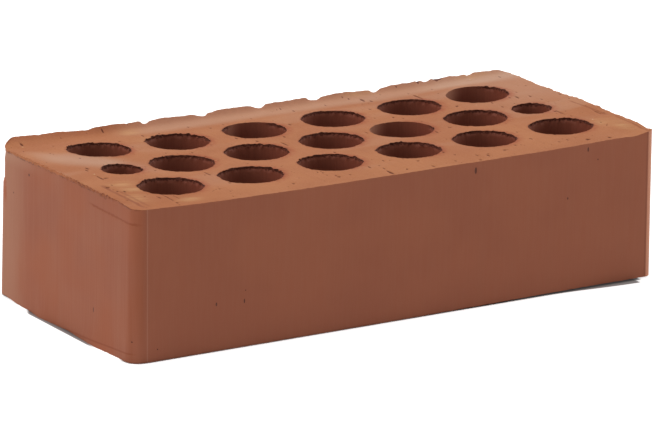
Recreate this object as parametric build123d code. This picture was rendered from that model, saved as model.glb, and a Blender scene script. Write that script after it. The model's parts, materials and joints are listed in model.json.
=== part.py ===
"""Perforated clay facing brick, lying on its bed face.

A column of clay leaves the die with its rounded arrises and its holes, and a wire cuts it to height.
So the section is one flat sketch, carried straight up, and the edges of both bed faces stay sharp.
Millimetres. The origin is the middle of the lower bed face, X runs along the stretcher faces,
Y along the header faces and Z up.
"""
import os

from build123d import *

# Overall size
length = 250.0
width = 120.0
height = 65.0
arris_radius = 6.0

# Large holes, in two outer rows and a middle row
large_hole_diameter = 26.8
outer_row_count = 6
middle_row_count = 5

# Small holes, one at each end of the middle row
small_hole_diameter = 16.8

# Clay left around the holes
side_wall = 15.4
outer_row_end_wall = 18.4
middle_row_end_wall = 17.6
small_hole_web = 6.2


def large_holes():
    """Centres of the large holes as grids: the two outer rows, then the middle row."""
    row_offset = width / 2 - side_wall - large_hole_diameter / 2
    outer_span = length - 2 * outer_row_end_wall - large_hole_diameter
    outer_pitch = outer_span / (outer_row_count - 1)
    outer_rows = GridLocations(outer_pitch, 2 * row_offset, outer_row_count, 2)

    last_large = small_hole_offset() - small_hole_diameter / 2 - small_hole_web - large_hole_diameter / 2
    middle_pitch = 2 * last_large / (middle_row_count - 1)
    middle_row = GridLocations(middle_pitch, 0, middle_row_count, 1)
    return [outer_rows, middle_row]


def small_hole_offset():
    """Distance from the middle of the brick to the centre of a small hole."""
    return length / 2 - middle_row_end_wall - small_hole_diameter / 2


def section():
    """Flat section of the clay column: rounded rectangle less all the holes."""
    with BuildSketch() as sketch:
        RectangleRounded(length, width, arris_radius)
        for grid in large_holes():
            with grid:
                Circle(large_hole_diameter / 2, mode=Mode.SUBTRACT)
        with GridLocations(2 * small_hole_offset(), 0, 2, 1):
            Circle(small_hole_diameter / 2, mode=Mode.SUBTRACT)
    return sketch.sketch


def brick():
    """The brick as one solid, its section carried up to the height between the two cuts."""
    return extrude(section(), amount=height)


os.makedirs("parts", exist_ok=True)
export_step(brick(), "parts/brick.step")
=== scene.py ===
"""Perforated clay facing brick on a pale studio floor.

The brick is one closed surface: the die-formed side faces, the two bed faces cut by the wire and
the walls of the nineteen holes. Shapes are worked out in millimetres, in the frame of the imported
model, and written into the mesh in metres.
"""
import json
import math

import bpy
import numpy as np
from mathutils import Matrix, Vector
from mathutils.geometry import delaunay_2d_cdt


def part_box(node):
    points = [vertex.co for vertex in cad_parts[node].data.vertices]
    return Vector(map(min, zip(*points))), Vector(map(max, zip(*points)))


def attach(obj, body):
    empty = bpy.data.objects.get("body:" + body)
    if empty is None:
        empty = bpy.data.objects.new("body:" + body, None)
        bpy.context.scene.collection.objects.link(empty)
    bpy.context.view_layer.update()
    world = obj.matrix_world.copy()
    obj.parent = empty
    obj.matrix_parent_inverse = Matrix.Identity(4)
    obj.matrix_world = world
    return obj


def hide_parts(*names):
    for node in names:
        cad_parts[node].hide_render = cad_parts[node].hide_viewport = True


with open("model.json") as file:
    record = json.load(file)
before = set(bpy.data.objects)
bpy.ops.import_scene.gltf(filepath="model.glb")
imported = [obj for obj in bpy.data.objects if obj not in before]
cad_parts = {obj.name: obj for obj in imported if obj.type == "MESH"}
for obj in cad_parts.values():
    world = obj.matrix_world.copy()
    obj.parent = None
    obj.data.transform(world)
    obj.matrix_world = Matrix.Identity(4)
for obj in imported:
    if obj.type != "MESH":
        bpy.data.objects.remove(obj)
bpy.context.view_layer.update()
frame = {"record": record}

MM = 0.001

# Brick, from the frame, with the radii of its upright arrises from the far right one counterclockwise
low, high = (np.array(corner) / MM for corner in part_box("brick"))
LENGTH, WIDTH, HEIGHT = high - low
ARRIS_RADII = (6.0, 6.0, 6.0, 3.8)

# Fired size: the clay shrank a little more across the brick and between the cuts than along it
FIRED_WIDTH = 0.9927 * WIDTH
FIRED_HEIGHT = 0.9838 * HEIGHT
HALF_LENGTH, HALF_WIDTH = LENGTH / 2, FIRED_WIDTH / 2

# Middle row of holes, which the record doesn't state
MIDDLE_PITCH = 35.5
MIDDLE_COUNT = 5
SMALL_OFFSET = 99.0
SMALL_RADIUS = 8.4

# The cut isn't quite square to the column: how far the top lies from the bottom along X and Y.
# The right header stands off that lean: how far out it lies at the bottom and at the top.
LEAN = (1.0, -2.5)
RIGHT_FLARE = (-0.2, -2.1)

# How far the cores of the die had wandered at some holes, along X
DRIFT = {"back_hole_3": -0.3, "back_hole_4": 0.6, "back_hole_5": 1.2, "back_hole_6": -2.2,
         "middle_hole_3": 0.4, "middle_hole_4": -0.9,
         "front_hole_3": 0.3, "front_hole_4": 0.8, "front_hole_5": 0.4, "front_hole_6": 0.9}

# Rims that the wire smeared smooth: middle of the stretch and its reach each way, in degrees
SMEARS = {"middle_hole_4": (95, 85), "back_hole_6": (120, 55), "back_hole_3": (75, 30)}

# Side of the rims where the wire tore the clay, and side where its red dust lies, in degrees
TORN_SIDE = 60
DUST_SIDE = -15

# Ends of the rims that the wire drew out to a point: side in degrees, length and reach in degrees
DRAWN_ENDS = ((153, 0.55, 8), (-26, 0.4, 9))

# Back lip: its heights along X, then the notches between its scallops: where the floor ends on the
# right, depth, length of the fall to it, length of the floor and share of the quick climb
LIP_HEIGHTS = (
    (-125, 1.5), (-122.5, 2.4), (-121.3, 2.5), (-120.6, 2.9), (-119.6, 2.7), (-118, 2.65), (-115, 2.9),
    (-113.2, 2.9), (-112.2, 2.6), (-111.2, 2.75), (-107, 2.55), (-103, 2.75), (-98, 2.95), (-92, 2.5),
    (-87, 2.05), (-83, 2.1), (-78, 2.9), (-73, 3.0), (-66, 2.6), (-54, 2.6), (-49, 2.9), (-45, 2.8),
    (-37, 2.1), (-24, 2.35), (-19, 2.8), (-15, 2.6), (-7, 2.7), (4, 2.75), (8, 2.6), (12, 2.2), (17, 2.45),
    (42, 2.3), (54, 1.5), (60, 1.9), (70, 2.4), (78, 2.2), (86, 2.3), (90, 1.9), (92.5, 1.85), (94, 2.15),
    (97.5, 2.15), (98.6, 1.85), (100, 2.1), (101.5, 2.4), (102.6, 2.1), (103.4, 1.4), (105.8, 1.5),
    (107, 1.95), (111, 1.7), (113, 1.55), (116, 1.35), (120, 1.45), (122.4, 1.45), (125, 0.85))
LIP_NOTCHES = (
    (-55.5, 1.2, 1.6, 1.5, 0.85), (-27.0, 1.45, 4.5, 1.0, 0.9), (0.7, 1.85, 5.8, 1.2, 0.75),
    (28.0, 1.5, 2.7, 3.3, 0.65), (57.3, 1.3, 2.5, 1.3, 0.85), (83.2, 0.7, 2.0, 1.7, 0.9),
    (104.5, 0.4, 4.0, 6.0, 0.9))

# Broad rises and hollows of the upper bed: place along X and Y, height and reach
SWELLS = (
    (-97, 29, 2.25, 17), (-101, -4, 0.85, 13), (-71, 0, -0.75, 15), (-35, 0, -0.3, 13), (0, 0, -0.2, 13),
    (35, 0, 0.25, 13), (-18, -32, 0.5, 15), (18, -34, 0.65, 16), (18, 31, -0.4, 14), (56, 31, -0.55, 16),
    (-58, 31, 0.15, 14), (93, 31, 1.3, 17))

# Burr that stands up along the left header: its height along Y
HEADER_BURR = ((-58, 0.0), (-50, 0.5), (-38, 0.9), (-8, 1.0), (12, 0.8), (30, 0.4), (46, 0.1), (60, 0.0))

# How far the upper bed rises along the right header: height along Y
RIGHT_RISE = (
    (-60, 1.4), (-52, 0.3), (-38, 0.3), (-32, 0.6), (-25, 0.2), (-15, 0.8), (0, 0.7), (10, 0.2), (15, 0.1),
    (20, -0.25), (26, 0.0), (33, -0.35), (44, 0.1), (60, -0.2))

# Gouges torn by the wire in the upper bed: place along X and Y, length along Y and width
GOUGES = (
    (-65, 60.5, 3.2, 2.0), (46, 52, 5.5, 1.4), (88, 59.5, 2.2, 4.5), (78, 59.5, 2.5, 0.9),
    (69, 43.5, 11, 0.8), (-19, 5.5, 8, 0.8), (-70, -19.5, 8, 0.7), (120, -22, 9, 0.9), (106, -12, 9, 0.6),
    (107, -19, 1.6, 1.2), (-4, -55.5, 6.5, 1.3), (-8, -45, 2.5, 0.9), (-26, -51, 1.8, 1.4),
    (10, -42, 1.3, 1.0), (14, -47, 1.4, 1.3), (16, -56, 3.0, 1.0), (28, -54, 1.5, 0.9),
    (40, -51, 2.6, 0.8), (44, -54, 3.2, 0.8), (38, -57.5, 1.8, 1.3), (55, -50, 1.6, 2.8),
    (73, -41, 2.4, 1.0), (62, -46, 1.5, 0.8), (30, -41, 1.6, 1.1), (54, -7, 1.6, 1.3), (103, 18, 3.6, 1.1),
    (107, 25, 1.5, 0.7), (75, 21, 1.6, 0.9), (93, -54, 2.2, 2.4), (102, -56.5, 2.0, 1.4),
    (112, -35, 1.5, 0.8), (-117, 54.5, 2.8, 1.2), (-106, 47, 1.4, 0.9), (-111, 8, 3.0, 1.1),
    (-113, -7.5, 9, 0.7), (-111, -8.5, 1.6, 2.4), (-117, -21, 2.0, 2.2), (-114, -19, 1.4, 0.7),
    (-77, 58, 2.5, 0.8), (-64, 47, 3.2, 0.7), (-106, -44, 3.8, 0.9), (-103, -46, 14, 0.5),
    (-99.5, -47, 8, 0.4), (-103, -54, 1.8, 0.9), (-120, -43, 1.4, 0.9), (41, 37, 2.2, 0.9),
    (35, 23, 1.2, 0.8), (20, -14, 1.2, 0.8), (-59, 13, 1.4, 0.8), (-48, -14, 1.2, 0.8),
    (67, 59.5, 2.5, 0.9), (45, -11, 3.0, 0.7), (-33, 44, 1.2, 0.9), (123, 12, 2.5, 0.8), (8, 56, 1.8, 0.9))
SMALL_PITS = 150

# Pale crumbs baked onto the upper bed: place along X and Y, length along Y and width
CRUMBS = (
    (-113, -2, 1.5, 1.0), (102, 54.5, 2.2, 1.2), (79, 47, 1.0, 0.8), (-118, 51.5, 1.2, 0.8),
    (111, -30, 1.8, 1.2), (86, 60, 1.2, 1.4), (70, 46, 1.0, 0.8))

# Pale worn patches: place along X and Y, reach along X and Y
PATCHES = (
    (-110, -20, 5, 4), (-109, -29, 6, 3), (-114, -41, 4, 6), (-66, 54, 4.5, 3), (48, 58.5, 8, 1.6),
    (106, 58.5, 9, 1.8), (111, -34, 5, 5), (118, -44, 4, 7), (-96, -52, 5, 3), (-60, 38, 9, 5))

# Pits of the side faces: place along the face and height, width and height of the pit
FRONT_PITS = (
    (90, 61, 0.8, 2.2), (95, 56, 0.6, 0.8), (80.6, 41, 0.7, 1.1), (-74, 19.5, 0.7, 2.0),
    (-73.5, 24, 0.6, 0.6), (-87, 20, 0.8, 1.7), (-114, 5, 0.6, 0.7), (35, 59.5, 1.2, 3.0))
HEADER_PITS = ((-25.2, 14.9, 0.7, 2.4), (-56, 9, 0.8, 0.6), (31, 58.4, 1.2, 1.2))

# Points of the mesh: round a large and a small rim, on an arris, and how far apart they lie along
# the back, the left header with its burr, the front and the right header
LARGE_RIM_POINTS = 240
SMALL_RIM_POINTS = 152
ARRIS_POINTS = 15
OUTLINE_SPACINGS = (1.05, 0.5, 1.05, 1.05)

# Reach of the shadow at the brick's foot, spokes of the floor's disc and strength of the world's light
SHADOW_REACH = 3.0
FLOOR_SPOKES = 64
WORLD_LIGHT = 0.42

# Camera of the photograph
LENS = 324.9
VIEW_DISTANCE = 2469.1
VIEW_AZIMUTH = -30.27
VIEW_ELEVATION = 15.56
VIEW_ROLL = -0.14
VIEW_PAN = (-1.84, -2.16)
VIEW_TARGET = (0.5, -1.25, 32.37)


def smooth(value, start, end):
    """Smoothstep: 0 before start, 1 after end, and 3t^2 - 2t^3 between them."""
    t = np.clip((value - start) / (end - start), 0, 1)
    return t * t * (3 - 2 * t)


def bell(value, middle, reach):
    """Bell curve: exp(-((value - middle) / reach)^2)."""
    return np.exp(-((value - middle) / reach) ** 2)


def random_field(u, v, seed, repeat=None):
    """Random numbers from -1 to 1 at whole u and v, blended between them with 3t^2 - 2t^3.

    With repeat, the field comes round again after that many steps of u.
    """
    size = 512
    table = np.random.default_rng(seed).uniform(-1, 1, (size, size))
    u, v = np.broadcast_arrays(u, v)
    iu, iv = np.floor(u).astype(int), np.floor(v).astype(int)
    fu, fv = u - iu, v - iv
    fu, fv = fu * fu * (3 - 2 * fu), fv * fv * (3 - 2 * fv)
    wrap = repeat or size
    u0, u1, v0, v1 = iu % wrap, (iu + 1) % wrap, iv % size, (iv + 1) % size
    near = table[u0, v0] * (1 - fu) + table[u1, v0] * fu
    far = table[u0, v1] * (1 - fu) + table[u1, v1] * fu
    return near * (1 - fv) + far * fv


def turn_between(angle, side):
    """Degrees between an angle in radians and a side in degrees, from 0 to 180."""
    return np.abs((np.degrees(angle) - side + 180) % 360 - 180)


class Hole:
    """A round hole of the brick: its name, centre, radius and number of points round its rim."""

    def __init__(self, name, x, y, radius, points):
        self.centre = np.array((x + DRIFT.get(name, 0.0), y * FIRED_WIDTH / WIDTH))
        self.name, self.radius, self.points = name, radius, points
        self.angles = np.arange(points) * 2 * math.pi / points

    def ring(self, gap, every=1):
        """Circle about the centre at the radius plus a gap, at every so many of the rim's angles."""
        angles = self.angles[::every]
        way = np.column_stack((np.cos(angles), np.sin(angles)))
        return self.centre + (self.radius + gap) * way

    def distance(self, xy):
        """Distance of points from the rim, outside it positive."""
        return np.linalg.norm(xy - self.centre, axis=-1) - self.radius

    def torn(self, angle):
        """How badly the rim is torn by angle: 1 on the torn side, 0.4 opposite, 0 where smeared."""
        share = 0.4 + 0.6 * smooth(np.cos(angle - math.radians(TORN_SIDE)), -0.4, 0.35)
        if self.name in SMEARS:
            middle, reach = SMEARS[self.name]
            share *= smooth(turn_between(angle, middle), reach, reach + 20)
        return share

    def drawn_out(self, angle):
        """How far the rim's two ends are drawn out to a point, each by its own random share."""
        shares = np.random.default_rng(int(abs(self.centre[0]) * 10)).uniform(0.3, 1.0, len(DRAWN_ENDS))
        return sum(share * length * bell(turn_between(angle, side), 0, reach)
                   for share, (side, length, reach) in zip(shares, DRAWN_ENDS))

    def noise(self, angle, cell, seed, depth=0.0):
        """Random field round the rim in cells of the given length, closed at a full turn."""
        cells = int(round(2 * math.pi * self.radius / cell))
        row = self.centre[0] * 0.37 + self.centre[1] * 0.11 + 100 + depth / cell
        return random_field(angle / (2 * math.pi) % 1 * cells, row, seed, cells)


def find_holes():
    """The twelve stated holes from the record's bores, then the middle row from its own sizes."""
    found = []
    for mount in frame["record"]["mounts"]:
        if mount["kind"] == "bore":
            x, y = np.array(mount["pos_m"][:2]) / MM
            found.append(Hole(mount["name"], x, y, mount["dims"]["r_mm"], LARGE_RIM_POINTS))
    large_radius = found[0].radius
    for i in range(MIDDLE_COUNT):
        x = (i - (MIDDLE_COUNT - 1) / 2) * MIDDLE_PITCH
        found.append(Hole(f"middle_hole_{i + 1}", x, 0, large_radius, LARGE_RIM_POINTS))
    for name, x in (("small_hole_1", -SMALL_OFFSET), ("small_hole_2", SMALL_OFFSET)):
        found.append(Hole(name, x, 0, SMALL_RADIUS, SMALL_RIM_POINTS))
    return found


holes = find_holes()


def outline():
    """Rounded rectangle, counterclockwise from above: four arcs joined by straight runs.

    Returns its points and their outward normals.
    """
    corners = np.array(((1, 1), (-1, 1), (-1, -1), (1, -1)))
    radii = np.array(ARRIS_RADII)[:, None]
    centres = (np.array((HALF_LENGTH, HALF_WIDTH)) - radii) * corners
    points, normals = [], []
    for i, spacing in enumerate(OUTLINE_SPACINGS):
        angles = math.pi / 2 * (i + np.linspace(0, 1, ARRIS_POINTS))
        way = np.column_stack((np.cos(angles), np.sin(angles)))
        points.append(centres[i] + radii[i] * way)
        normals.append(way)
        start, after = points[-1][-1], (i + 1) % 4
        target = centres[after] + radii[after] * way[-1]
        steps = int(round(np.linalg.norm(target - start) / spacing))
        share = np.arange(1, steps)[:, None] / steps
        points.append(start + share * (target - start))
        normals.append(np.repeat(way[-1:], steps - 1, axis=0))
    return np.concatenate(points), np.concatenate(normals)


outline_points, outline_normals = outline()
outline_count = len(outline_points)


def edge_gap(xy):
    """Distance of points from the straight sides of the outline, inside it positive."""
    return np.minimum(HALF_LENGTH - np.abs(xy[..., 0]), HALF_WIDTH - np.abs(xy[..., 1]))


def bed_marks():
    """Gouges, scattered small pits and crumbs of the upper bed.

    Rows of place along X and Y, length, width and depth, which is below zero for a crumb. Small
    pits whose middle lies close to a rim or an edge are left out.
    """
    gouges = np.array(GOUGES, float)
    depth = np.minimum(0.45 * gouges[:, 3], 0.7)
    crumbs = np.array(CRUMBS, float)
    draw = np.random.default_rng(71)
    places = draw.uniform((-HALF_LENGTH, -HALF_WIDTH), (HALF_LENGTH, HALF_WIDTH), (SMALL_PITS * 2, 2))
    width = 0.35 + 0.75 * draw.random(len(places)) ** 2.5
    length = width * draw.uniform(1.0, 3.2, len(places))
    free = edge_gap(places) > 2
    for hole in holes:
        free &= hole.distance(places) > 0.9
    small = np.column_stack((places, length, width))[free][:SMALL_PITS]
    rows = (np.column_stack((gouges, depth)), np.column_stack((small, 0.4 * small[:, 3])),
            np.column_stack((crumbs, -0.35 * crumbs[:, 3])))
    return np.concatenate(rows)


marks = bed_marks()


def mark_points():
    """Points for the marks: over each a grid of five across by a few along, a little past its edge."""
    found = []
    for x, y, length, width, _ in marks:
        steps = max(3, int(round(length / 0.55)))
        across, along = np.meshgrid(np.array((-1.2, -0.62, 0, 0.62, 1.2)), np.linspace(-1.2, 1.2, steps))
        found.append(np.column_stack((x + across.ravel() * width / 2, y + along.ravel() * length / 2)))
    points = np.concatenate(found)
    free = edge_gap(points) > 0.6
    for hole in holes:
        free &= hole.distance(points) > 0.55
    return points[free]


def mark_relief(xy):
    """Depth of the marks at points, and how far inside a gouge and a crumb each point lies.

    In a mark's ellipse the share is 1 at its middle and 0 at its edge, which a random field makes
    ragged, and the depth is the mark's own times that share.
    """
    ragged = 1 + 0.3 * random_field(xy[:, 0] / 0.6, xy[:, 1] / 0.9, 72)
    across = (xy[:, :1] - marks[:, 0]) / (marks[:, 3] / 2)
    along = (xy[:, 1:] - marks[:, 1]) / (marks[:, 2] / 2)
    share = 1 - smooth(np.hypot(across, along) * ragged[:, None], 0.3, 1.1)
    sunk = marks[:, 4] > 0
    depth = (share * marks[:, 4]).sum(axis=1)
    return depth, share[:, sunk].max(axis=1), share[:, ~sunk].max(axis=1)


def patch_share(xy):
    """How strongly a pale patch shows at points: the sum of bells over the patches, up to 1."""
    patches = np.array(PATCHES, float)
    across = (xy[:, :1] - patches[:, 0]) / patches[:, 2]
    along = (xy[:, 1:] - patches[:, 1]) / patches[:, 3]
    return np.clip(np.exp(-across ** 2 - along ** 2).sum(axis=1), 0, 1)


def bed_triangles(edge_rings, hole_rings, spacing, extra=np.empty((0, 2))):
    """Triangles between the outline and the hole rims, as a constrained Delaunay mesh.

    Its points are the outline and the rims, rings at growing gaps from both, a jittered grid of
    the given spacing on what is left, and the extra ones. The outline's and the rims' points come
    first, in their order. A triangle whose corners all lie on one loop fills a hole, or is a
    sliver on a straight side, and is left out.
    """
    rims = [hole.ring(0) for hole in holes]
    border = np.concatenate([outline_points] + rims)
    counts = [outline_count] + [hole.points for hole in holes]
    starts = np.cumsum([0] + counts)
    loops = [start + np.column_stack((np.arange(count), (np.arange(count) + 1) % count))
             for start, count in zip(starts, counts)]
    inner = [outline_points[::every] - gap * outline_normals[::every] for gap, every in edge_rings]
    inner += [hole.ring(gap, every) for hole in holes for gap, every in hole_rings]

    grid_x, grid_y = np.meshgrid(np.arange(-HALF_LENGTH, HALF_LENGTH, spacing),
                                 np.arange(-HALF_WIDTH, HALF_WIDTH, spacing))
    grid = np.column_stack((grid_x.ravel(), grid_y.ravel()))
    grid += np.random.default_rng(5).uniform(-0.25, 0.25, grid.shape) * spacing
    keep = edge_gap(grid) > edge_rings[-1][0] + 0.6 * spacing
    for hole in holes:
        keep &= hole.distance(grid) > hole_rings[-1][0] + 0.55 * spacing
    points = np.concatenate([border] + inner + [grid[keep], extra])

    corners = [Vector(point) for point in points.tolist()]
    made = delaunay_2d_cdt(corners, np.concatenate(loops).tolist(), [], 0, 1e-9)
    source = np.array([given[0] for given in made[3]])
    triangles = source[np.array(made[2])]
    loop_of = np.full(len(points), -1)
    loop_of[:len(border)] = np.repeat(np.arange(len(counts)), counts)
    a, b, c = loop_of[triangles].T
    in_clay = (a < 0) | (a != b) | (b != c)
    return points, triangles[in_clay], len(border)


def listed(value, rows):
    """Straight runs between the listed rows of place and amount."""
    places, amounts = np.array(rows).T
    return np.interp(value, places, amounts)


def lip_height(x):
    """Height of the back lip along X: its listed heights joined by straight runs, less its notches.

    A notch falls away on its left, has a floor and climbs part of the way back at once on its
    right, from where the next scallop swells slowly. Two random fields roughen it.
    """
    height = listed(x, LIP_HEIGHTS)
    for place, depth, fall, floor, quick in LIP_NOTCHES:
        away = x - place
        climb = quick * smooth(away, 0, 1.8) + (1 - quick) * smooth(away, 1.8, 10)
        height -= depth * smooth(away, -floor - fall, -floor) * (1 - climb)
    height += 0.16 * random_field(x / 3.1, 2, 11) + 0.10 * random_field(x / 1.3, 7, 12)
    return np.maximum(height, 0.0)


def top_relief(x, y):
    """Height of the upper bed face over its nominal plane, without its grooves and marks.

    The sum of a shallow dish along X with raised ends, a sag of the front edge, broad swells, low
    waves of the wire, the back lip as a bank whose foot runs out softly, the burr along the left
    header and the crumbly rise along the right one, less the worn far left and near right corners.
    """
    back, front = smooth(y, 46, 58), smooth(-y, HALF_WIDTH - 16, HALF_WIDTH)
    dish = -0.45 + 0.9 * np.clip(np.abs(x) / 112, 0, 1.1) ** 4
    sag = 0.35 * front * (1 - (x / HALF_LENGTH) ** 2)
    swells = sum(rise * bell(np.hypot(x - place_x, y - place_y), 0, reach)
                 for place_x, place_y, rise, reach in SWELLS)
    waves = 0.10 * random_field(x / 22, y / 9, 21) + 0.05 * random_field(x / 7, y / 17, 22)
    foot = 5.5 + 4 * smooth(-x, 80, 115)
    lip = lip_height(x) * np.clip(1 + (y - HALF_WIDTH) / foot, 0, 1) ** 2.2
    ragged = 1 + 0.35 * random_field(y / 1.7, 5, 24) + 0.3 * random_field(y / 0.8, 9, 25)
    burr = listed(y, HEADER_BURR) * ragged * smooth(-x, HALF_LENGTH - 1.8, HALF_LENGTH - 0.2)
    crumbly = 0.22 * random_field(y / 2.4, 3, 26) + 0.16 * random_field(y / 1.0, 6, 27)
    right_end = listed(y, RIGHT_RISE) * smooth(x, 111, 124)
    right_end += crumbly * smooth(x, HALF_LENGTH - 1.5, HALF_LENGTH)
    far_left = 0.75 * smooth(-x, 118, 125) * back
    near_right = front * (0.15 * smooth(x, 50, 70) + 0.95 * smooth(x, 102, 117))
    return dish - sag + swells + waves + lip + burr + right_end - far_left - near_right


def grooves(x, y):
    """Depth of the grooves that the wire scored beside both headers."""
    left = -117.5 + 0.04 * (y + 40) + 0.5 * random_field(y / 6, 3, 23)
    depth = 0.35 * bell(x, left, 1.0) * smooth(-y, 18, 23) * smooth(y, -58, -50)
    depth += 0.25 * bell(x, left + 2.6, 0.8) * smooth(-y, 26, 31) * smooth(y, -57, -46)
    depth += 0.30 * bell(x, 120.3, 0.5) * smooth(-y, 0, 4) * smooth(y, -30, -24)
    return depth + 0.35 * bell(x, 122.3, 0.4) * smooth(-y, 30, 36)


def lower_lift(x, y):
    """How far the lower edge curls off the floor: most at the far left corner, less along the middle
    of the left header, and along the front towards its right end."""
    header = 1.35 * smooth(y, 34, 54) + 0.3 * bell(y, 32, 5) + 0.4 * bell(y, -5, 6)
    front = 0.75 * smooth(x, -10, 100) * smooth(-y, HALF_WIDTH - 10, HALF_WIDTH - 1)
    return header * smooth(-x, 112, 124) + front


def edge_wander(along, x, depth):
    """How far the side faces stand out near the upper cut, by the run along the outline.

    On the left header a ragged burr hangs over the face, elsewhere the edge only wavers. Both fade
    with depth, the burr at a depth that varies along the edge.
    """
    coarse = random_field(along / 2.3, 1, 41)
    fine = random_field(along / 0.8, 4, 42)
    left = smooth(-x, 119, 124)
    hang = 0.9 + 0.6 * random_field(along / 1.6, 9, 43) + 0.4 * fine
    burr = np.maximum(0.20 + 0.28 * coarse + 0.24 * fine, 0) * (1 - smooth(depth, hang * 0.6, hang + 0.2))
    return left * burr + (1 - left) * 0.10 * (coarse + 0.8 * fine) * np.exp(-depth / 0.8)


def worn_arris(x, y, z):
    """How far the far left arris is worn back: roughly from the cut down to a ragged end, and
    more towards the cut, where its corner is rounded off."""
    end = FIRED_HEIGHT - 15.5 + 3 * random_field(y / 2.5, 8, 53)
    rough = 0.85 + 0.35 * random_field(y / 2.0, z / 2.2, 51)
    worn = rough * smooth(z, end, end + 4) + 0.6 * smooth(z, FIRED_HEIGHT - 5, FIRED_HEIGHT)
    return smooth(-x, 117.5, 123) * smooth(y, HALF_WIDTH - 7, HALF_WIDTH - 2) * worn


def brick_points(side_rows, hole_rows, beds):
    """Nominal places of all points: side rows, hole rows, then the inner points of the two beds."""
    sides = np.tile(outline_points, (len(side_rows), 1))
    parts = [np.column_stack((sides, np.repeat(side_rows, outline_count)))]
    for hole in holes:
        rim = np.tile(hole.ring(0), (len(hole_rows), 1))
        parts.append(np.column_stack((rim, np.repeat(hole_rows, hole.points))))
    for level, (points, _, border) in enumerate(beds):
        inner = points[border:]
        parts.append(np.column_stack((inner, np.full(len(inner), FIRED_HEIGHT * level))))
    return np.concatenate(parts)


def brick_faces(side_rows, hole_rows, beds):
    """Quads of the side faces, quads of the hole walls and triangles of the beds, all facing out."""
    sides = grid_quads(len(side_rows), outline_count, 0)
    count = len(side_rows) * outline_count
    walls, starts = [], []
    for hole in holes:
        starts.append(count)
        walls.append(grid_quads(len(hole_rows), hole.points, count)[:, ::-1])
        count += len(hole_rows) * hole.points
    triangles = []
    for level, (points, corners, border) in enumerate(beds):
        side_row, hole_row = (len(side_rows) - 1) * level, (len(hole_rows) - 1) * level
        index = [side_row * outline_count + np.arange(outline_count)]
        index += [start + hole_row * hole.points + np.arange(hole.points)
                  for start, hole in zip(starts, holes)]
        index.append(count + np.arange(len(points) - border))
        count += len(points) - border
        a, b, c = (points[corners[:, k]] for k in range(3))
        turn = (b - a)[:, 0] * (c - a)[:, 1] - (b - a)[:, 1] * (c - a)[:, 0]
        wrong = (turn > 0) != (level == 1)
        corners = np.where(wrong[:, None], corners[:, ::-1], corners)
        triangles.append(np.concatenate(index)[corners])
    return sides, np.concatenate(walls), np.concatenate(triangles)


def grid_quads(rows, columns, start):
    """Quads of a closed grid: each row of points joined to the row above it, and round to its start."""
    row, column = np.meshgrid(np.arange(rows - 1), np.arange(columns), indexing="ij")
    here = start + row * columns + column
    right = start + row * columns + (column + 1) % columns
    return np.stack((here, right, right + columns, here + columns), axis=-1).reshape(-1, 4)


def shape_rims(nominal, place):
    """Moves the points about the rims.

    A torn rim is bitten into and stands up in small teeth, in patches, and the wall just under it
    is lumpy and a little hollowed, so that the teeth overhang. All follow random fields round the
    rim. Returns each point's gap to its nearest rim, how torn that is there, and the cosine of the
    turn from the side where the dust lies.
    """
    depth = FIRED_HEIGHT - nominal[:, 2]
    rim_gap = np.full(len(nominal), 99.0)
    torn, side = np.zeros((2, len(nominal)))
    for hole in holes:
        gap = hole.distance(nominal[:, :2])
        near = np.flatnonzero((gap < 6) & (gap < rim_gap))
        gap = np.maximum(gap[near], 0)
        arm = nominal[near, :2] - hole.centre
        angle = np.arctan2(arm[:, 1], arm[:, 0])
        share = hole.torn(angle)
        coarse, fine = hole.noise(angle, 2.6, 31), hole.noise(angle, 0.95, 32)
        patchy = 0.25 + 0.75 * smooth(hole.noise(angle, 4.2, 36), -0.35, 0.5)
        down = depth[near]
        bite = share * (0.10 + 0.26 * coarse + 0.34 * patchy * fine) + hole.drawn_out(angle)
        lumps = share * 0.45 * hole.noise(angle, 1.1, 34, down) * bell(down, 0.9, 0.8)
        hollow = share * (0.16 + 0.16 * hole.noise(angle, 1.5, 33)) * bell(down, 0.8, 0.5)
        low_bite = 0.25 * (coarse + fine) * np.exp(-nominal[near, 2] / 0.9)
        push = (bite * np.exp(-down / 0.7) + lumps + hollow + low_bite) * np.exp(-gap / 1.4)
        place[near, :2] += push[:, None] * arm / np.linalg.norm(arm, axis=1)[:, None]
        teeth = share * patchy * (0.06 + 0.36 * hole.noise(angle, 1.0, 35) + 0.16 * coarse)
        place[near, 2] += teeth * np.exp(-gap / 0.35 - down / 0.4)
        rim_gap[near], torn[near] = gap, share
        side[near] = np.cos(angle - math.radians(DUST_SIDE))
    return rim_gap, torn, side


def shape_sides(nominal, place, rows):
    """Moves the points of the side faces along their normals.

    The upper edge wanders, the lower edge is rough, the left header's foot bulges, shallow waves run
    over all, and the far left arris is worn back.
    """
    side = slice(0, rows * outline_count)
    x, y, z = nominal[side].T
    run = np.concatenate(([0], np.cumsum(np.linalg.norm(np.diff(outline_points, axis=0), axis=1))))
    along = np.tile(run, rows)
    push = edge_wander(along, x, FIRED_HEIGHT - z)
    push += 0.12 * random_field(along / 1.4, 6, 44) * np.exp(-z / 0.6)
    foot = 1.0 * bell(y, -28, 13) + 0.9 * bell(y, 19, 7)
    push += foot * smooth(-x, 119, 124) * np.exp(-z / 3)
    push += 0.05 * random_field(along / 9, z / 30, 52) - worn_arris(x, y, z)
    place[side, :2] += push[:, None] * np.tile(outline_normals, (rows, 1))


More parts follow.
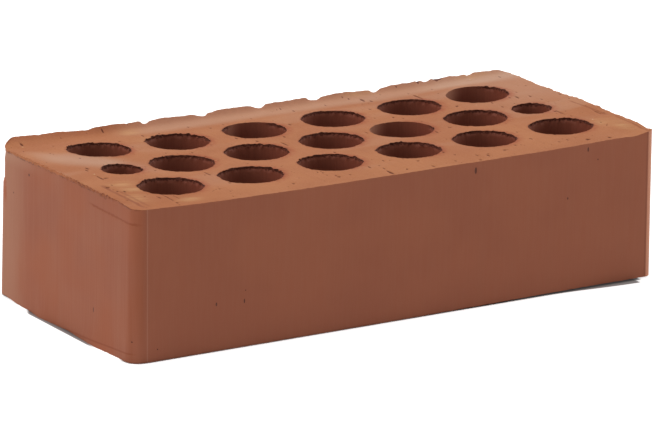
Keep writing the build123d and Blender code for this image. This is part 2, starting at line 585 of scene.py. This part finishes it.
def shape_beds(nominal, place):
    """Moves the points by the relief of the beds, then leans the brick.

    The upper bed's relief fades down to the lower bed, but its grain, grooves and marks move only
    its own points. Returns how far inside a gouge each point lies, how pale it is and its depth.
    """
    x, y, z = nominal.T
    depth = FIRED_HEIGHT - z
    on_bed = depth < 0.01
    sunk, gouged, crumb = np.zeros((3, len(nominal)))
    sunk[on_bed], gouged[on_bed], crumb[on_bed] = mark_relief(nominal[on_bed, :2])
    grain = 0.05 * random_field(x / 1.9, y / 2.6, 61) + 0.05 * random_field(x / 0.9, y / 1.1, 62)
    level = z / FIRED_HEIGHT
    place[:, 2] += level * top_relief(x, y) + on_bed * (grain - grooves(x, y)) - sunk
    place[:, 2] += lower_lift(x, y) * np.exp(-z / 4)
    place[:, :2] += (level - 0.5)[:, None] * LEAN
    place[:, 0] += smooth(x, 105, 125) * (RIGHT_FLARE[0] + level * (RIGHT_FLARE[1] - RIGHT_FLARE[0]))
    return gouged, np.maximum(crumb * 2, patch_share(nominal[:, :2]) * on_bed), depth


def brick_mesh():
    """The brick's closed mesh.

    Side faces: a grid of the outline's points by rows of height. Hole walls: a grid of each rim's
    points by rows of depth. Bed faces: triangles that share the end rows of those grids. The
    functions above then move every point.
    """
    side_depths = np.array((4.5, 3.3, 2.3, 1.6, 1.15, 0.8, 0.5, 0.25, 0))
    lower_rows = (0, 0.4, 1.0, 2.0, 4, 9, 24, 38, 41.5, 44, 46.5, 49, 51.5, 54, 57)
    side_rows = np.concatenate((lower_rows, FIRED_HEIGHT - side_depths))
    hole_depths = np.array((4.5, 2.6, 1.8, 1.25, 0.8, 0.4, 0))
    hole_rows = np.concatenate(((0, 0.9, 30), FIRED_HEIGHT - hole_depths))
    lower = bed_triangles(((1.0, 2), (2.6, 4)), ((0.9, 2), (2.6, 4)), 4.5)
    upper_edges = ((0.4, 1), (0.9, 1), (1.5, 1), (2.2, 1), (3.0, 2), (4.2, 2))
    upper = bed_triangles(upper_edges, ((0.35, 1), (0.8, 2), (1.4, 2), (2.4, 4)), 1.9, mark_points())
    nominal = brick_points(side_rows, hole_rows, (lower, upper))
    sides, walls, triangles = brick_faces(side_rows, hole_rows, (lower, upper))

    place = nominal.copy()
    rim_marks = shape_rims(nominal, place)
    shape_sides(nominal, place, len(side_rows))
    clay_marks = shape_beds(nominal, place)

    mesh = bpy.data.meshes.new("brick")
    quads = np.concatenate((sides, walls))
    loops = np.concatenate((quads.ravel(), triangles.ravel()))
    sizes = np.repeat((4, 3), (len(quads), len(triangles)))
    mesh.vertices.add(len(place))
    mesh.vertices.foreach_set("co", (place * MM).ravel())
    mesh.loops.add(len(loops))
    mesh.loops.foreach_set("vertex_index", loops)
    mesh.polygons.add(len(sizes))
    mesh.polygons.foreach_set("loop_start", np.concatenate(([0], np.cumsum(sizes)[:-1])))
    finish = np.repeat((0, 2, 1), (len(sides), len(walls), len(triangles)))
    mesh.polygons.foreach_set("material_index", finish)
    for name, columns in (("rim_marks", rim_marks), ("clay_marks", clay_marks)):
        attribute = mesh.attributes.new(name, "FLOAT_VECTOR", "POINT")
        attribute.data.foreach_set("vector", np.column_stack(columns).ravel())
    mesh.update(calc_edges=True)
    mesh.polygons.foreach_set("use_smooth", np.ones(len(mesh.polygons), bool))
    mesh.set_sharp_from_angle(angle=math.radians(50))
    return mesh


class Signal:
    """One output in a material's node tree. Arithmetic on it adds Math nodes."""

    def __init__(self, tree, output=None):
        self.tree, self.output = tree, output

    def node(self, kind, settings=None, inputs=None, output=0):
        """Adds a shader node: its settings first, then the values or links of its sockets."""
        added = self.tree.nodes.new("ShaderNode" + kind)
        for name, value in (settings or {}).items():
            setattr(added, name, value)
        for name, value in (inputs or {}).items():
            socket = added.inputs[name]
            if isinstance(value, Signal):
                self.tree.links.new(value.output, socket)
            else:
                socket.default_value = value
        return Signal(self.tree, added.outputs[output] if added.outputs else None)

    def math(self, operation, first, second=0.0):
        """A Math node on one or two values."""
        return self.node("Math", {"operation": operation}, {0: first, 1: second})

    def __add__(self, other):
        return self.math("ADD", self, other)

    def __sub__(self, other):
        return self.math("SUBTRACT", self, other)

    def __rsub__(self, other):
        return self.math("SUBTRACT", other, self)

    def __mul__(self, other):
        return self.math("MULTIPLY", self, other)

    def __truediv__(self, other):
        return self.math("DIVIDE", self, other)

    def __abs__(self):
        return self.math("ABSOLUTE", self)

    __radd__ = __add__
    __rmul__ = __mul__

    def step(self, start, end):
        """Smoothstep from 0 at start to 1 at end, which may lie either way round."""
        low_end, high_end = min(start, end), max(start, end)
        settings = {"interpolation_type": "SMOOTHSTEP"}
        inputs = {"Value": self, "From Min": low_end, "From Max": high_end}
        risen = self.node("MapRange", settings, inputs)
        return risen if start < end else 1 - risen


def clear_tree(owner):
    """Clears the nodes of a material or the world, and returns a signal to start from."""
    owner.use_nodes = True
    owner.node_tree.nodes.clear()
    return Signal(owner.node_tree)


def srgb(red, green, blue):
    """Linear colour from sRGB values of 0 to 255."""
    value = np.array((red, green, blue)) / 255
    linear = np.where(value <= 0.04045, value / 12.92, ((value + 0.055) / 1.055) ** 2.4)
    return (*linear.tolist(), 1.0)


def mix(amount, first, second):
    """The first colour at an amount of 0, the second at 1."""
    start = next(item for item in (amount, first, second) if isinstance(item, Signal))
    return start.node("Mix", {"data_type": "RGBA"}, {0: amount, 6: first, 7: second}, 2)


class Clay:
    """A clay finish: its colour so far, the place on the brick in millimetres and the mesh's marks."""

    def __init__(self, name):
        self.material = bpy.data.materials.new(name)
        self.node = clear_tree(self.material).node
        self.colour = None
        place = self.node("TexCoord", output="Object")
        self.place = self.node("VectorMath", {"operation": "SCALE"}, {0: place, "Scale": 1 / MM})
        self.x, self.y, self.z = self.parts(self.place)
        self.rim, self.torn, self.side = self.parts(self.attribute("rim_marks"))
        self.gouge, self.pale, self.depth = self.parts(self.attribute("clay_marks"))

    def attribute(self, name):
        """The three numbers that the mesh keeps under a name."""
        return self.node("Attribute", {"attribute_name": name}, output="Vector")

    def parts(self, vector):
        """The three numbers of a vector."""
        return [self.node("SeparateXYZ", inputs={0: vector}, output=i) for i in range(3)]

    def noise(self, size, detail=2.0, offset=(0.0, 0.0, 0.0), turn=0.0):
        """Noise from 0 to 1 whose features are about size millimetres along X, Y and Z.

        Turn, in degrees counterclockwise from above, turns those X and Y.
        """
        shift = tuple(-o * s for o, s in zip(offset, size))
        rotation = (0, 0, math.radians(turn))
        inputs = {"Vector": self.place, "Location": shift, "Rotation": rotation, "Scale": size}
        scaled = self.node("Mapping", {"vector_type": "TEXTURE"}, inputs)
        inputs = {"Vector": scaled, "Scale": 1.0, "Detail": detail}
        return self.node("TexNoise", {}, inputs)

    def spots(self, size, radius, share, offset=(0.0, 0.0, 0.0)):
        """Mask of scattered spots: one in a share of cells of the given size, as wide as radius says."""
        inputs = {"Vector": self.place, "Location": offset, "Scale": tuple(1 / s for s in size)}
        scaled = self.node("Mapping", {}, inputs)
        inputs = {"Vector": scaled, "Scale": 1.0}
        distance = self.node("TexVoronoi", {}, inputs, "Distance")
        colour = self.node("TexVoronoi", {}, inputs, "Color")
        lot = self.node("SeparateColor", {}, {0: colour})
        return distance.step(radius, radius * 0.5) * lot.step(1 - share, 1 - share + 0.01)

    def coat(self, amount, colour):
        """Lays a colour over the finish's own, by an amount from 0 to 1."""
        self.colour = mix(amount, self.colour, colour)

    def finish(self, roughness, relief, strength, distance):
        """Ends the finish in a matt shader with the relief as bump."""
        inputs = {"Height": relief, "Strength": strength, "Distance": distance * MM}
        normal = self.node("Bump", {}, inputs)
        inputs = {"Base Color": self.colour, "Roughness": roughness, "Normal": normal,
                  "Specular IOR Level": 0.3}
        shader = self.node("BsdfPrincipled", {}, inputs)
        self.node("OutputMaterial", {}, {"Surface": shader})
        return self.material


def cut_colours(clay):
    """Colour of cut clay: orange, mottled, dragged along Y by the wire and finely grained."""
    broad = clay.noise((40, 26, 40), 2).step(0.3, 0.7)
    colour = mix(broad, srgb(174, 107, 69), srgb(184, 118, 77))
    drag = clay.noise((1.2, 18, 8), 3).step(0.45, 0.8)
    colour = mix(drag * 0.22, colour, srgb(162, 91, 60))
    grain = clay.noise((0.6, 0.6, 0.6), 3).step(0.35, 0.75)
    colour = mix(grain * 0.16, colour, srgb(206, 148, 112))
    return colour, drag, grain


def cut_smoothness_and_painted_sheen(clay):
    """How smooth the wire left the cut, which also sets where the sheen is painted: in broad patches, and
    by the left header, back and right end.
    """
    band = clay.y - 26.6 + (clay.x + 115.3) + clay.noise((12, 12, 12), 1) * 6 - 3
    left_band = abs(band).step(17, 1) * clay.x.step(-80, -100) * clay.x.step(-125, -114)
    back_band = clay.y.step(HALF_WIDTH - 16, HALF_WIDTH - 8) * clay.x.step(-80, -50)
    right_end = clay.x.step(62, 108) * clay.y.step(-16, 22)
    broad = clay.noise((60, 14, 40), 1, (3, 1, 0)).step(0.5, 0.75)
    return broad * 0.25 + left_band * 0.78 + back_band * 0.64 + right_end * 0.42


def coat_rims(clay):
    """Coats the rims: red dust on one side, and a dark halo and crumbs where torn. Returns the
    mask of the crumbs."""
    dusty = clay.noise((2.2, 2.2, 2.2), 2).step(0.2, 0.65)
    red = clay.rim.step(4.5, 0.1) * clay.side.step(-0.1, 0.8) * dusty
    clay.coat(red * 0.75, srgb(162, 80, 50))
    halo = clay.rim.step(1.4, 0.2) * clay.torn
    clay.coat(halo * 0.4, srgb(160, 84, 56))
    tufts = clay.noise((3.5, 3.5, 3.5), 1, (5, 2, 7)).step(0.42, 0.6)
    crumbs = clay.rim.step(0.7, 0.1) * clay.torn * tufts * clay.noise((0.6, 0.6, 0.6), 2).step(0.40, 0.52)
    clay.coat(crumbs * 0.8, srgb(90, 42, 28))
    return crumbs


def cut_clay():
    """Finish of the bed faces: cut clay with smoothed bands that carry a painted sheen, worn patches,
    gouges and torn rims.
    """
    clay = Clay("cut_clay")
    clay.colour, drag, grain = cut_colours(clay)
    smoothness_and_painted_sheen = cut_smoothness_and_painted_sheen(clay)
    # Painted sheen: the smoothed bands are made lighter and greyer, a painted reflection.
    clay.coat(smoothness_and_painted_sheen, srgb(191, 144, 116))
    near_corner = clay.x.step(-60, -105) * clay.y.step(-10, -40)
    clay.coat(near_corner * 0.45, srgb(164, 92, 49))
    worn = clay.pale * (clay.noise((14, 2.4, 4), 3, (1, 4, 2), -30).step(0.3, 0.68) * 0.75 + 0.25)
    clay.coat(worn * 0.75, srgb(206, 156, 108))
    # Painted shade in the grooves that the wire scored.
    clay.coat(scored_line_shade(clay), srgb(134, 66, 40))
    crumbs = coat_rims(clay)
    # Painted shade on the inner slope of the back lip.
    lip = clay.y.step(HALF_WIDTH - 5.2, HALF_WIDTH - 2.2)
    clay.coat(lip * 0.3, srgb(158, 88, 60))
    specks = clay.spots((2.6, 3.4, 9), 0.13, 0.10, (2.3, 1.7, 0.0)) * 0.6
    clay.coat(specks, srgb(112, 56, 38))
    flecks = clay.spots((7, 6, 9), 0.05, 0.12, (5.1, 8.2, 0.0))
    clay.coat(flecks * 0.6, srgb(222, 196, 172))
    clay.coat(clay.gouge.step(0.1, 0.5) * 0.85, srgb(96, 44, 28))
    clay.coat(clay.pale.step(1.2, 1.7), srgb(222, 190, 162))
    relief = grain * 0.3 + drag * 0.25 - specks - crumbs * 0.6
    return clay.finish(0.85 - smoothness_and_painted_sheen * 0.25, relief, 0.5, 0.3)


def scored_line_shade(clay):
    """Mask of painted shade in the lines that the wire scored: two beside the left header and two beside
    the right.
    """
    waver = clay.noise((5, 5, 5), 2) * 1.2 - 0.6
    rough = clay.noise((0.8, 2.5, 2), 2).step(0.25, 0.6) * 0.5 + 0.5
    left = clay.x + 117.1 - clay.y * 0.02 + waver
    mask = abs(left).step(1.5, 0.3) * clay.y.step(-17, -22) * clay.y.step(-60, -52)
    mask += abs(left - 2.7).step(1.2, 0.2) * clay.y.step(-26, -32) * clay.y.step(-59, -50) * 0.6
    right = clay.x - 118.4 + clay.y * 0.06 + waver * 0.4
    mask += abs(right).step(0.7, 0.15) * clay.y.step(1, -4) * clay.y.step(-32, -27) * 0.7
    return (mask + abs(clay.x - 121.2).step(0.6, 0.2) * clay.y.step(-28, -36) * 0.6) * rough * 0.7


def coat_sides(clay, on_header, on_front):
    """Coats the side faces with the die's upright streaks. The front is paler low down, and the left
    header is reddish in patches; a painted sheen lightens the header's far end and a band under its top
    edge. Returns the streaks."""
    broad = clay.noise((34, 34, 25), 2).step(0.3, 0.7)
    clay.colour = mix(broad, srgb(154, 87, 61), srgb(160, 92, 64))
    streak = clay.noise((0.7, 0.7, 90), 3)
    wide = clay.noise((4, 4, 200), 2, (4, 4, 0))
    clay.coat(on_front * (clay.z.step(36, 0) * 0.24 + 0.19), srgb(176, 106, 80))
    calm = 1 - on_front * 0.6
    clay.coat(streak.step(0.4, 0.62) * calm * 0.2, srgb(172, 114, 88))
    clay.coat(wide.step(0.4, 0.7) * calm * 0.22, srgb(160, 100, 74))
    # Painted sheen on the left header: lighter and greyer at its far end and in a band under its top edge.
    header_painted_sheen = clay.y.step(28, 52) * 0.6 + clay.depth.step(7, 2) * clay.y.step(-5, 40) * 0.4
    clay.coat(on_header * header_painted_sheen, srgb(180, 128, 102))
    redness = clay.noise((30, 22, 30), 1, (8, 2, 5)).step(0.4, 0.65) * (1 - clay.y.step(38, 45))
    clay.coat(on_header * redness * 0.4, srgb(161, 85, 50))
    return streak


def coat_header(clay, on_header, ragged):
    """Coats the left header's edges: the burr of cut clay that hangs over its top, the shade and a
    crease under that, and a fainter line at its foot. Returns the masks of the burr and the lines."""
    cut_tone, _, _ = cut_colours(clay)
    ends = clay.y.step(58, 44) * (clay.y.step(-52, -34) * 0.75 + 0.25)
    hang = clay.depth - (ragged * 1.6 + clay.noise((4, 4, 9), 2) * 0.8) * ends + 0.15
    burr = on_header * hang.step(0.25, -0.05)
    patchy = clay.noise((3, 3, 9), 2, (6, 1, 3)).step(0.4, 0.6)
    shade = on_header * hang.step(0.8, 0.2) * (1 - burr) * patchy
    clay.coat(shade * 0.75, srgb(98, 48, 33))
    flake = mix(ragged.step(0.35, 0.65) * 0.4, cut_tone, srgb(190, 108, 68))
    dull = clay.y.step(4, -14) * (0.35 + ragged.step(0.6, 0.4) * 0.5)
    clay.coat(burr * 0.9, mix(dull, flake, srgb(118, 58, 38)))
    crease = abs(clay.z - 58.6 - (clay.y + 37) * 0.017 + ragged * 1.4 - 0.7).step(0.7, 0.2)
    crease = crease * clay.y.step(-61, -57) * clay.y.step(-20, -26)
    foot_line = abs(clay.z - 2.1 + (clay.y + 28) * 0.06).step(0.55, 0.15)
    foot_line = foot_line * clay.y.step(-58, -54) * clay.y.step(3, -4)
    lines = on_header * (crease + foot_line * 0.8)
    clay.coat(lines * 0.75, srgb(140, 68, 38))
    return burr, lines


def side_pits(clay, on_header, on_front):
    """Mask of the pits of the side faces: scattered ones, and the listed ones as small ellipses."""
    pits = clay.spots((15, 15, 18), 0.03, 0.15, (3.3, 2.2, 1.1))
    for side, across, places in ((on_front, clay.x, FRONT_PITS), (on_header, clay.y, HEADER_PITS)):
        for place, height, width, tall in places:
            wide_share, tall_share = (across - place) / (width / 2), (clay.z - height) / (tall / 2)
            pits += side * (wide_share * wide_share + tall_share * tall_share).step(1.3, 0.5)
    return pits


def die_clay():
    """Finish of the side faces: smooth die-formed clay with the marks of its edges and a few pits.

    The left header's far arris is worn down to rough clay. The front has a pale seam near its left arris,
    and a fine dark line and a band of painted light at its right one.
    """
    clay = Clay("die_clay")
    on_header = clay.x.step(-HALF_LENGTH + 6, -HALF_LENGTH + 3)
    on_front = clay.y.step(-HALF_WIDTH + 4, -HALF_WIDTH + 2)
    ragged = clay.noise((1.1, 1.1, 0.9), 3)
    streak = coat_sides(clay, on_header, on_front)
    burr, lines = coat_header(clay, on_header, ragged)
    raw = (clay.y + ragged * 3.0 + clay.depth * 0.12).step(HALF_WIDTH - 5.2, HALF_WIDTH - 3.6)
    raw = raw * clay.x.step(-HALF_LENGTH + 7, -HALF_LENGTH + 3) * (clay.depth + ragged * 14).step(33, 25)
    clay.coat(raw * 0.85, srgb(168, 92, 60))
    seam = on_front * abs(clay.x + 118.6 + clay.z * 0.008).step(0.35, 0.1)
    clay.coat(seam * 0.4, srgb(186, 134, 112))
    right = clay.x + clay.z * 0.014
    dark_line = on_front * abs(right - 120.4).step(0.6, 0.1)
    clay.coat(dark_line * 0.3, srgb(104, 58, 42))
    # Painted light: a lighter band on the right arris, where it turns towards the light from the right.
    painted_lit_band = right.step(120.7, 121.2) * clay.y.step(-51, -56)
    clay.coat(painted_lit_band * 0.9, srgb(212, 146, 116))
    pits = side_pits(clay, on_header, on_front)
    clay.coat(pits * 0.8, srgb(66, 32, 25))
    flecks = clay.spots((16, 16, 14), 0.035, 0.2, (7.3, 1.2, 4.1))
    clay.coat(flecks * 0.5, srgb(188, 150, 132))
    fine = clay.noise((0.4, 0.4, 0.5), 2)
    relief = streak * 0.35 + fine * 0.25 - pits - lines * 0.8 + raw * ragged
    return clay.finish(0.68 + burr * 0.17, relief, 0.35, 0.2)


def hole_clay():
    """Finish of the hole walls: dull red-brown with upright streaks, and dark with painted shade under the
    torn rim.

    The left side of each wall is lighter with painted light, and the right one redder.
    """
    clay = Clay("hole_clay")
    streak = clay.noise((0.8, 0.8, 60), 3)
    clay.colour = mix(streak, srgb(120, 62, 44), srgb(138, 76, 56))
    # Painted light on the left side of each wall, which faces right, less where the rim is torn.
    light = clay.side.step(-0.15, -0.95) * (1 - clay.torn * 0.9)
    clay.coat(light * 0.85, srgb(184, 128, 102))
    clay.coat(clay.side.step(0.2, 0.9) * 0.3, srgb(152, 70, 46))
    lumps = clay.noise((0.9, 0.9, 0.7), 2).step(0.3, 0.7)
    # Painted shade: a dark, lumpy band just under the torn rim, which also roughens and bumps the wall.
    band = (clay.depth - lumps * 1.0).step(0.7, 0.25) * clay.torn
    clay.coat(band * 0.85, mix(lumps, srgb(54, 23, 16), srgb(92, 44, 29)))
    fine = clay.noise((0.5, 0.5, 0.8), 3)
    return clay.finish(0.62 + band * 0.25, streak * 0.5 + fine * 0.3 + band * lumps, 0.6, 0.3)


def add_object(name, data):
    """Adds an object with the data to the scene."""
    made = bpy.data.objects.new(name, data)
    bpy.context.scene.collection.objects.link(made)
    return made


brick = add_object("brick_clay", brick_mesh())
for finish in (die_clay(), cut_clay(), hole_clay()):
    brick.data.materials.append(finish)
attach(brick, "root")
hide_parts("brick")


def camera_like(start):
    """One for rays from the camera and for glossy and transmitted ones, which show the backdrop too."""
    seen, glossy, through = (start.node("LightPath", output=name)
                             for name in ("Is Camera Ray", "Is Glossy Ray", "Is Transmission Ray"))
    return start.math("MAXIMUM", start.math("MAXIMUM", seen, glossy), through)


def pale_floor():
    """Finish of the floor: white but for the brick's shadow at its foot.

    The shadow lies where the brick stands close over the floor. It is painted as a wider strip along
    the left header and the front's right end, and left out beside that strip and past the right end.
    """
    material = bpy.data.materials.new("pale_floor")
    start = clear_tree(material)
    inputs = {"Color": (1, 1, 1, 1), "Distance": SHADOW_REACH * MM}
    clear = start.node("AmbientOcclusion", {"samples": 8}, inputs, "AO").step(0.55, 0.8)
    place = start.node("TexCoord", output="Object")
    x, y = (start.node("SeparateXYZ", inputs={0: place}, output=i) / MM for i in (0, 1))
    bare = x.step(-123.5, -124.5) * y.step(-52, -46) + x.step(117.5, 119)
    clear += (1 - clear) * bare
    left = x.step(-128.1, -127.3) * (x.step(-128.1, -125) * 0.12 + 0.84) * x.step(-122, -124)
    left = left * y.step(-31, -22) * (y - (x + 125) * 2.0).step(36, 32)
    front = (y + x.step(66, 118) * 4.1).step(-59.0, -58.0) * y.step(-50, -53)
    front = front * x.step(45, 70) * x.step(116.5, 115)
    clear += (1 - clear) * x.step(45, 100) * 0.08
    clear = clear * (1 - left) * (1 - front * 0.9) + front * 0.03
    strength = camera_like(start) * clear * 0.75
    glow = start.node("Emission", {}, {"Color": (1, 1, 1, 1), "Strength": strength})
    shade = mix(clear, srgb(104, 90, 86), srgb(231, 231, 231))
    paint = start.node("BsdfDiffuse", {}, {"Color": shade})
    both = start.node("AddShader", {}, {0: glow, 1: paint})
    start.node("OutputMaterial", {}, {"Surface": both})
    return material


def studio_floor():
    """The floor: a flat disc of rings and spokes, closed in the middle."""
    angles = np.linspace(0, 2 * math.pi, FLOOR_SPOKES, endpoint=False)
    radii = np.array((0.02, 0.3, 1.0, 6.0))
    ring = np.column_stack((np.cos(angles), np.sin(angles), np.zeros(FLOOR_SPOKES)))
    points = np.concatenate([ring * r for r in radii])
    rings = grid_quads(len(radii), FLOOR_SPOKES, 0)[:, ::-1]
    mesh = bpy.data.meshes.new("studio_floor")
    mesh.from_pydata(points.tolist(), [], rings.tolist() + [list(range(FLOOR_SPOKES))])
    mesh.materials.append(pale_floor())
    floor = add_object("studio_floor", mesh)


def softbox(name, place, size, power):
    """A square lamp of soft white light that faces the brick."""
    lamp = bpy.data.lights.new(name, "AREA")
    lamp.shape, lamp.size, lamp.energy = "SQUARE", size, power
    holder = add_object(name, lamp)
    holder.location = place
    target = Vector((0, 0, 0.03))
    holder.rotation_euler = (target - Vector(place)).to_track_quat("-Z", "Y").to_euler()


def studio_light():
    """White world and three softboxes: over the brick, from its left and from its right."""
    world = bpy.data.worlds.new("studio")
    bpy.context.scene.world = world
    start = clear_tree(world)
    seen = camera_like(start)
    strength = seen + (1 - seen) * WORLD_LIGHT
    glow = start.node("Background", {}, {"Color": (1, 1, 1, 1), "Strength": strength})
    start.node("OutputWorld", {}, {"Surface": glow})
    softbox("top_softbox", (-0.2, 0.5, 1.3), 1.0, 7.8)
    softbox("left_softbox", (-1.5, 0.1, 0.7), 0.9, 5.4)
    softbox("right_softbox", (1.6, -0.35, 0.8), 0.8, 8)


def photo_camera():
    """Camera at the photograph's place, its axes from azimuth, elevation and roll."""
    azimuth, elevation, roll = (math.radians(v) for v in (VIEW_AZIMUTH, VIEW_ELEVATION, VIEW_ROLL))
    out = Vector((math.sin(azimuth), -math.cos(azimuth), 0))
    back = out * math.cos(elevation) + Vector((0, 0, math.sin(elevation)))
    level = Vector((math.cos(azimuth), math.sin(azimuth), 0))
    upright = back.cross(level)
    right = level * math.cos(roll) + upright * math.sin(roll)
    up = upright * math.cos(roll) - level * math.sin(roll)
    place = Vector(VIEW_TARGET) + back * VIEW_DISTANCE + right * VIEW_PAN[0] + up * VIEW_PAN[1]
    camera = bpy.data.cameras.new("photo_camera")
    camera.lens, camera.sensor_width = LENS, 36
    holder = add_object("photo_camera", camera)
    axes = Matrix((right, up, back)).transposed().to_4x4()
    holder.matrix_world = Matrix.Translation(place * MM) @ axes
    bpy.context.scene.camera = holder


studio_floor()
studio_light()
photo_camera()
bpy.context.scene.view_settings.view_transform = "Standard"
